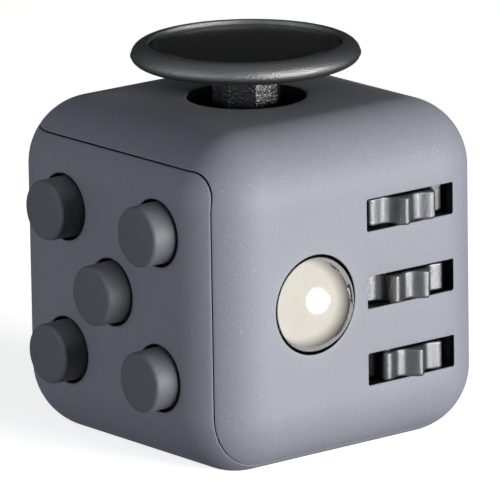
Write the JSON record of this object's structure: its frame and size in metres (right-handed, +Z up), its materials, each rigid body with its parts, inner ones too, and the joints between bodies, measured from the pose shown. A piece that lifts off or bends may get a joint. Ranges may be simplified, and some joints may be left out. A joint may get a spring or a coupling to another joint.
{
  "type": "fidget cube",
  "caption": "Pocket desk toy: a rounded cube with push buttons, spinning gears and a rolling ball, a tilting joystick, a dial, a rocker switch and a thumb dish.",
  "frame": {"origin": "centre of the cube's footprint on the face it rests on", "axes": "+Z up through the joystick, -Y out of the button face, +X out of the gear and ball face"},
  "size_m": [0.038, 0.0378, 0.0375],
  "materials": {
    "case": "soft-touch matt graphite",
    "key": "matt near-black",
    "gear": "satin, grey",
    "frame": "natural moulded, hidden inside",
    "spring": "bright spring steel and zinc-plated screws",
    "silicone": "translucent milky silicone",
    "dark": "glossy black",
    "steel": "polished"
  },
  "bodies": {
    "case": {"shell_lower": "case", "shell_upper": "case", "button_dome_upper_left": "silicone", "button_dome_upper_right": "silicone", "button_dome_middle": "silicone", "button_dome_lower_left": "silicone", "button_dome_lower_right": "silicone", "snap_disc_upper_left": "spring", "snap_disc_middle": "spring", "snap_disc_lower_right": "spring", "button_plate": "frame", "plate_screw_top": "spring", "plate_screw_bottom": "spring", "gear_frame": "frame", "gear_axle": "spring", "gear_frame_screw_upper": "spring", "gear_frame_screw_lower": "spring", "ball_bracket": "frame", "ball_spring": "spring", "ball_bracket_screw_upper": "spring", "ball_bracket_screw_lower": "spring", "joystick_socket": "frame", "joystick_spring": "spring", "socket_screw_right": "spring", "socket_screw_left": "spring", "rocker_housing": "frame", "rocker_pin": "spring", "rocker_spring": "spring", "housing_screw_left": "spring", "housing_screw_right": "spring"},
    "button_upper_left": {"button_upper_left": "key"},
    "button_upper_right": {"button_upper_right": "key"},
    "button_middle": {"button_middle": "key"},
    "button_lower_left": {"button_lower_left": "key"},
    "button_lower_right": {"button_lower_right": "key"},
    "gear_lower": {"gear_lower": "gear"},
    "gear_middle": {"gear_middle": "gear"},
    "gear_upper": {"gear_upper": "gear"},
    "ball_cup": {"ball_cup": "frame"},
    "ball": {"ball": "steel"},
    "joystick_ring": {"joystick_ring": "frame"},
    "joystick": {"joystick_cap": "key", "joystick_insert": "dark", "joystick_shaft": "frame"},
    "dial": {"dial": "key", "dial_retainer": "frame", "dial_screw": "spring"},
    "rocker": {"rocker": "key"},
    "plunger": {"rocker_plunger": "key"}
  },
  "joints": [
    {"name": "press_upper_left", "type": "slide", "parent": "case", "child": "button_upper_left", "axis": [0, 1, 0], "range_m": [0, 0.0012], "stiffness_N_per_m": 400, "deforming": ["button_dome_upper_left"]},
    {"name": "press_upper_right", "type": "slide", "parent": "case", "child": "button_upper_right", "axis": [0, 1, 0], "range_m": [0, 0.0012], "stiffness_N_per_m": 400, "deforming": ["button_dome_upper_right"]},
    {"name": "press_middle", "type": "slide", "parent": "case", "child": "button_middle", "axis": [0, 1, 0], "range_m": [0, 0.0012], "stiffness_N_per_m": 400, "deforming": ["button_dome_middle"]},
    {"name": "press_lower_left", "type": "slide", "parent": "case", "child": "button_lower_left", "axis": [0, 1, 0], "range_m": [0, 0.0012], "stiffness_N_per_m": 400, "deforming": ["button_dome_lower_left"]},
    {"name": "press_lower_right", "type": "slide", "parent": "case", "child": "button_lower_right", "axis": [0, 1, 0], "range_m": [0, 0.0012], "stiffness_N_per_m": 400, "deforming": ["button_dome_lower_right"]},
    {"name": "gear_spin_lower", "type": "hinge", "parent": "case", "child": "gear_lower", "pos_m": [0.01205, 0.00605, 0.00875], "axis": [0, 0, 1], "continuous": true},
    {"name": "gear_spin_middle", "type": "hinge", "parent": "case", "child": "gear_middle", "pos_m": [0.01205, 0.00605, 0.0161], "axis": [0, 0, 1], "continuous": true},
    {"name": "gear_spin_upper", "type": "hinge", "parent": "case", "child": "gear_upper", "pos_m": [0.01205, 0.00605, 0.02345], "axis": [0, 0, 1], "continuous": true},
    {"name": "ball_press", "type": "slide", "parent": "case", "child": "ball_cup", "axis": [-1, 0, 0], "range_m": [0, 0.0006], "stiffness_N_per_m": 2000, "deforming": ["ball_spring"]},
    {"name": "ball_roll", "type": "hinge", "parent": "ball_cup", "child": "ball", "pos_m": [0.0138, -0.00545, 0.0161], "axis": [0, 1, 0], "continuous": true},
    {"name": "joystick_tilt_right", "type": "hinge", "parent": "case", "child": "joystick_ring", "pos_m": [0, 0, 0.027], "axis": [0, 1, 0], "range_deg": [-10, 10], "stiffness_Nm_per_rad": 0.06, "deforming": ["joystick_spring"]},
    {"name": "joystick_tilt_front", "type": "hinge", "parent": "joystick_ring", "child": "joystick", "pos_m": [0, 0, 0.027], "axis": [1, 0, 0], "range_deg": [-10, 10], "stiffness_Nm_per_rad": 0.06, "deforming": ["joystick_spring"]},
    {"name": "dial_spin", "type": "hinge", "parent": "case", "child": "dial", "pos_m": [-0.0165, 0, 0.0161], "axis": [-1, 0, 0], "continuous": true},
    {"name": "rocker_flip", "type": "hinge", "parent": "case", "child": "rocker", "pos_m": [0, 0.0129, 0.0161], "axis": [1, 0, 0], "range_deg": [0, 18]},
    {"name": "plunger_slide", "type": "slide", "parent": "case", "child": "plunger", "axis": [0, -1, 0], "range_m": [0, 0.0008], "stiffness_N_per_m": 300, "deforming": ["rocker_spring"]}
  ]
}
